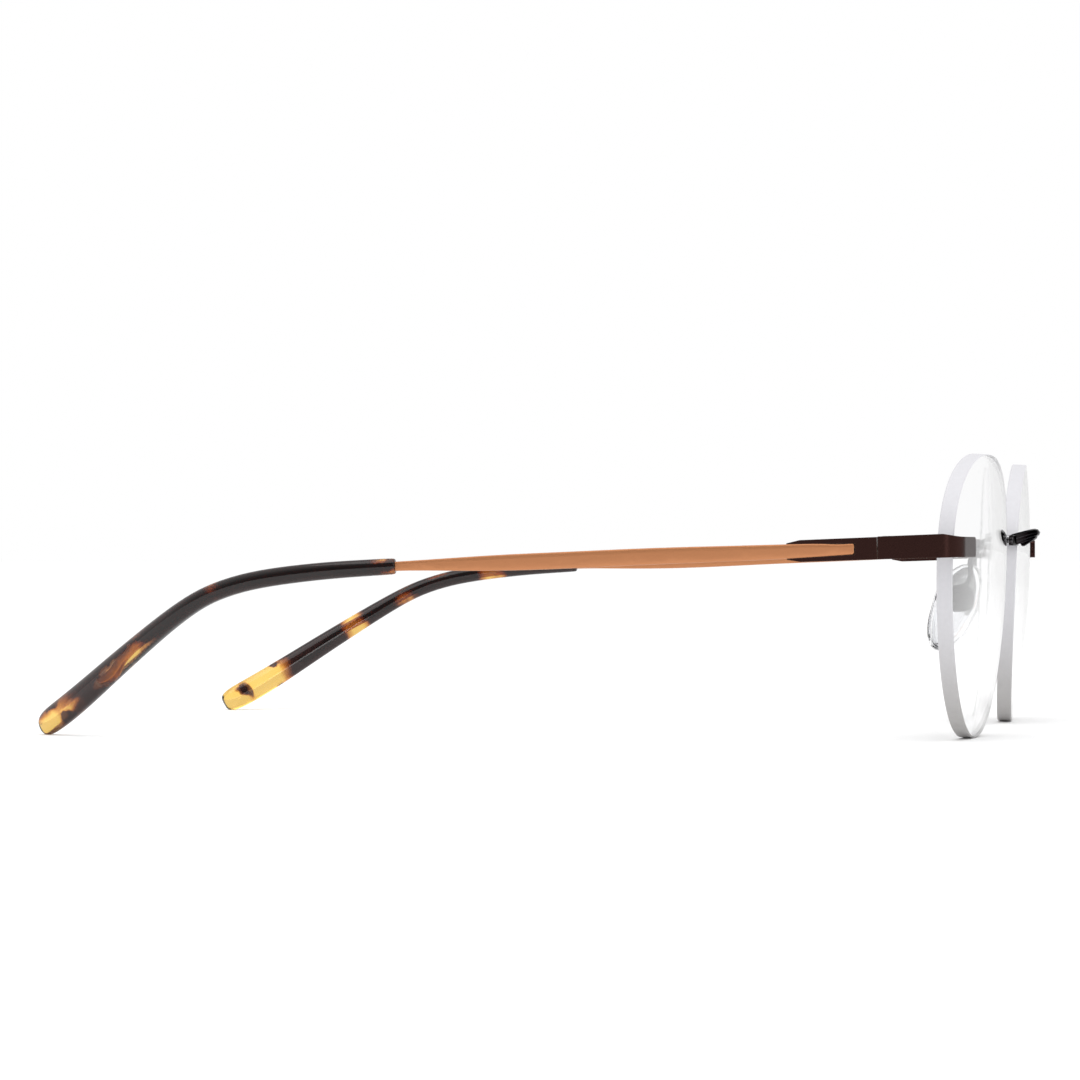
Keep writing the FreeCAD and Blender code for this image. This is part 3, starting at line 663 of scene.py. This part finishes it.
def polish_lens(lens, side):
    """Give the two polished faces their exact curve and the edge its ground finish."""
    hand = 1 if side == "left" else -1
    middle = LENS_FRAME @ Vector((0, FRONT_RADIUS * MM, LENS_MIDDLE_RISE * MM))
    middle.x *= hand
    bpy.ops.object.select_all(action="DESELECT")
    lens.select_set(True)
    bpy.context.view_layer.objects.active = lens
    bpy.ops.object.shade_smooth_by_angle(angle=math.radians(SHARP_ANGLE))
    mesh = lens.data
    mesh.materials.append(LENS_FACE)
    mesh.materials.append(LENS_RIM)
    normals = [corner.vector.copy() for corner in mesh.corner_normals]
    for polygon in mesh.polygons:
        polygon.material_index = 1
        places = [mesh.vertices[i].co for i in polygon.vertices]
        for radius, outward in ((FRONT_RADIUS, 1), (BACK_RADIUS, -1)):
            if all(abs((place - middle).length - radius * MM) < ON_FACE for place in places):
                polygon.material_index = 0
                for corner, place in zip(polygon.loop_indices, places):
                    normals[corner] = (place - middle).normalized() * outward
    mesh.normals_split_custom_set(normals)
    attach(lens, "front")
    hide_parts("lens_" + side)


def place_lenses():
    left = model_lens()
    right = flipped(left, "clear_lens_right")
    polish_lens(left, "left")
    polish_lens(right, "right")


place_lenses()


# ---------------------------------------------------------------- stage
def make_floor():
    bpy.ops.object.select_all(action="DESELECT")
    bpy.ops.mesh.primitive_plane_add(size=60.0, location=(0, 0, 0))
    floor = bpy.context.object
    floor.name = "floor"
    material, tree, shader = new_material("pale floor")
    shader.inputs["Base Color"].default_value = (0.92, 0.92, 0.92, 1)
    shader.inputs["Roughness"].default_value = 1.0
    shader.inputs["Specular IOR Level"].default_value = 0.0
    floor.data.materials.append(material)


make_floor()


# Reflected brightness of the room: away from the dim side, and on the dim side.
ROOM_DIM_SIDE = (-0.93, -0.2, -0.3)
ROOM_GLOSS_BRIGHT = 0.97
ROOM_GLOSS_DIM = 0.22
ROOM_EXTRA_SOFT_LIGHT = 0.14


def make_studio():
    """White room with one dimmer side, so that metal shows its shape."""
    world = bpy.data.worlds.new("studio")
    bpy.context.scene.world = world
    world.use_nodes = True
    tree = world.node_tree
    background = tree.nodes["Background"]
    background.inputs["Color"].default_value = (1, 1, 1, 1)
    place = tree.nodes.new("ShaderNodeTexCoord")
    side = add(tree, "ShaderNodeVectorMath", operation="DOT_PRODUCT")
    side.inputs[1].default_value = ROOM_DIM_SIDE
    tree.links.new(place.outputs["Generated"], side.inputs[0])
    dim = tree.nodes.new("ShaderNodeMapRange")
    dim.interpolation_type = "SMOOTHSTEP"
    dim.inputs["From Min"].default_value = -0.2
    dim.inputs["From Max"].default_value = 0.85
    dim.inputs["To Min"].default_value = ROOM_GLOSS_BRIGHT
    dim.inputs["To Max"].default_value = ROOM_GLOSS_DIM
    tree.links.new(side.outputs["Value"], dim.inputs["Value"])
    rays = tree.nodes.new("ShaderNodeLightPath")
    plain = add(tree, "ShaderNodeMath", operation="MULTIPLY_ADD")
    plain.inputs[1].default_value = ROOM_EXTRA_SOFT_LIGHT
    plain.inputs[2].default_value = 1.0
    tree.links.new(rays.outputs["Is Diffuse Ray"], plain.inputs[0])
    strength = add(tree, "ShaderNodeMix", data_type="FLOAT")
    tree.links.new(rays.outputs["Is Glossy Ray"], strength.inputs[0])
    tree.links.new(plain.outputs[0], strength.inputs[2])
    tree.links.new(dim.outputs[0], strength.inputs[3])
    tree.links.new(strength.outputs[0], background.inputs["Strength"])


make_studio()


def soft_light(name, location, target, size, power):
    data = bpy.data.lights.new(name, "AREA")
    data.shape = "RECTANGLE"
    data.size, data.size_y = size
    data.energy = power
    light = bpy.data.objects.new(name, data)
    bpy.context.collection.objects.link(light)
    light.location = location
    direction = Vector(target) - Vector(location)
    light.rotation_euler = direction.to_track_quat("-Z", "Y").to_euler()
    return light


soft_light("overhead softbox", (-0.35, -0.1, 0.9), (0, 0, 0.02), (0.9, 0.9), 3.0)
soft_light("side strip", (-0.62, -0.62, 0.12), (0, -0.05, 0.03), (0.10, 0.5), 0.5)

# ---------------------------------------------------------------- camera
CAMERA_PLACE = (-0.6317, -0.126815, 0.02775)
CAMERA_YAW = 11.911
CAMERA_LIFT = 0.284
FOCAL_LENGTH = 128.5


def make_camera():
    data = bpy.data.cameras.new("camera")
    data.sensor_width = 36.0
    data.lens = FOCAL_LENGTH
    data.clip_start = 0.01
    data.clip_end = 100.0
    camera = bpy.data.objects.new("camera", data)
    bpy.context.collection.objects.link(camera)
    camera.location = CAMERA_PLACE
    yaw = math.radians(CAMERA_YAW)
    lift = math.radians(CAMERA_LIFT)
    look = Vector((math.cos(lift) * math.cos(yaw), math.cos(lift) * math.sin(yaw), math.sin(lift)))
    camera.rotation_euler = look.to_track_quat("-Z", "Y").to_euler()
    bpy.context.scene.camera = camera


make_camera()
bpy.context.scene.view_settings.view_transform = "Standard"
